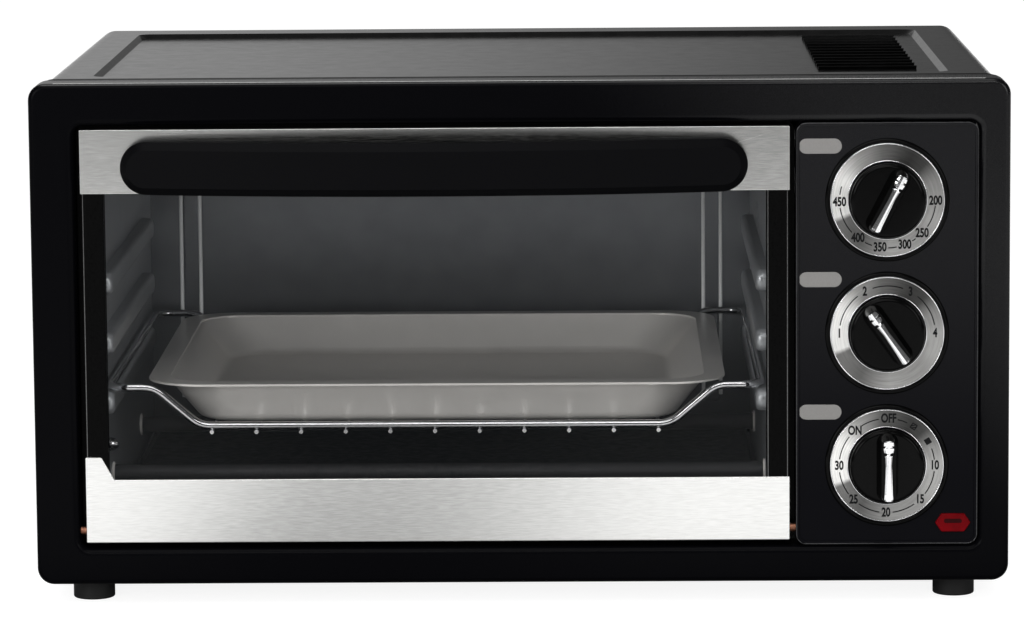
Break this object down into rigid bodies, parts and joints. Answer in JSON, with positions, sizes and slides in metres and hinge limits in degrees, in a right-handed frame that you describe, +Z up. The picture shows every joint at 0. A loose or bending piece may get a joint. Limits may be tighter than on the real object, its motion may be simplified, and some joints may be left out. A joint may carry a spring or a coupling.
{
  "type": "toaster oven",
  "caption": "Countertop toaster oven with a drop-down glass door, wire rack, bake pan, crumb tray and a column of rotary controls.",
  "frame": {"origin": "on the table, under the middle of the oven's overall box", "axes": "+Z up, front faces -Y, controls on the +X side"},
  "size_m": [0.463, 0.367, 0.2515],
  "materials": {
    "satin_black_plastic": "satin moulded black",
    "gloss_black_metal": "gloss black enamel",
    "galvanised_steel": "plain galvanised sheet",
    "brushed_trim": "brushed",
    "chromed_wire": "bright",
    "grey_pan_steel": "grey non-stick",
    "heater_sheath": "dull oxidised",
    "white_ceramic": "unglazed",
    "clear_glass": "clear",
    "soft_pad": "matt",
    "hinge_brass": "plain",
    "red_lens": "clear red",
    "bulb_glass": "clear",
    "black_rubber": "matt",
    "grey_plastic": "plain",
    "zinc_screw": "zinc plated",
    "fan_aluminium": "plain"
  },
  "bodies": {
    "oven": {"front_fascia": "satin_black_plastic", "control_panel": "satin_black_plastic", "control_bracket": "galvanised_steel", "mouth_frame": "gloss_black_metal", "cavity_left_wall": "galvanised_steel", "cavity_right_wall": "galvanised_steel", "cavity_back_wall": "galvanised_steel", "cavity_ceiling": "galvanised_steel", "cavity_floor": "galvanised_steel", "cavity_posts": "galvanised_steel", "lower_heating_rods": "heater_sheath", "upper_heating_rods": "heater_sheath", "element_bushes": "white_ceramic", "outer_wrap": "gloss_black_metal", "base_plate": "galvanised_steel", "rear_panel": "gloss_black_metal", "cord_gland": "satin_black_plastic", "rear_panel_screws": "zinc_screw", "feet": "black_rubber", "foot_screws": "zinc_screw", "dial_rings": "brushed_trim", "lamp_lens": "red_lens", "neon_lamp": "bulb_glass", "thermostat": "white_ceramic", "selector_switch": "grey_plastic", "timer_movement": "galvanised_steel", "timer_bell": "chromed_wire", "fan_housing": "galvanised_steel", "fan_motor": "heater_sheath", "terminal_block": "white_ceramic", "wiring": "soft_pad", "closing_spring": "zinc_screw"},
    "door": {"door_glass": "clear_glass", "door_top_trim": "brushed_trim", "door_bottom_trim": "brushed_trim", "door_left_strip": "gloss_black_metal", "door_right_strip": "gloss_black_metal", "glass_pads": "soft_pad", "hinge_blocks": "galvanised_steel", "left_hinge_pin": "hinge_brass", "right_hinge_pin": "hinge_brass", "closing_lever": "galvanised_steel", "door_handle": "satin_black_plastic", "handle_screws": "zinc_screw"},
    "rack": {"rack_frame": "chromed_wire", "rack_rods": "chromed_wire"},
    "pan": {"bake_pan": "grey_pan_steel"},
    "crumb_drawer": {"crumb_tray": "galvanised_steel"},
    "fan": {"fan_shaft": "zinc_screw", "fan_impeller": "fan_aluminium"},
    "temperature_control": {"temperature_knob": "satin_black_plastic", "temperature_pointer": "chromed_wire", "temperature_shaft": "zinc_screw"},
    "function_control": {"function_knob": "satin_black_plastic", "function_pointer": "chromed_wire", "function_shaft": "zinc_screw"},
    "timer_control": {"timer_knob": "satin_black_plastic", "timer_pointer": "chromed_wire", "timer_shaft": "zinc_screw"}
  },
  "joints": [
    {"name": "door_hinge", "type": "hinge", "parent": "oven", "child": "door", "pos_m": [-0.04005, -0.1505, 0.037], "axis": [1, 0, 0], "range_deg": [0, 90], "stiffness_Nm_per_rad": 0.4, "springref_deg": -22.92, "deforming": ["closing_spring"]},
    {"name": "rack_slide", "type": "slide", "parent": "oven", "child": "rack", "axis": [0, -1, 0], "range_m": [0, 0.0945]},
    {"name": "pan_lift", "type": "slide", "parent": "rack", "child": "pan", "axis": [0, 0, 1], "range_m": [0, 0.06]},
    {"name": "crumb_tray_slide", "type": "slide", "parent": "oven", "child": "crumb_drawer", "axis": [0, 1, 0], "range_m": [0, 0.28]},
    {"name": "temperature_turn", "type": "hinge", "parent": "oven", "child": "temperature_control", "pos_m": [0.17355, -0.1555, 0.19405], "axis": [0, 1, 0], "range_deg": [0, 275]},
    {"name": "function_turn", "type": "hinge", "parent": "oven", "child": "function_control", "pos_m": [0.17355, -0.1555, 0.13065], "axis": [0, 1, 0], "range_deg": [-54.4, 125.6]},
    {"name": "timer_turn", "type": "hinge", "parent": "oven", "child": "timer_control", "pos_m": [0.17355, -0.1555, 0.06725], "axis": [0, 1, 0], "range_deg": [-40, 270]},
    {"name": "fan_spin", "type": "hinge", "parent": "oven", "child": "fan", "pos_m": [0.12, 0.0262, 0.1434], "axis": [1, 0, 0], "continuous": true}
  ],
  "couplings": [
    {"joint": "rack_slide", "follows": "door_hinge", "m_per_rad": 0.06}
  ]
}
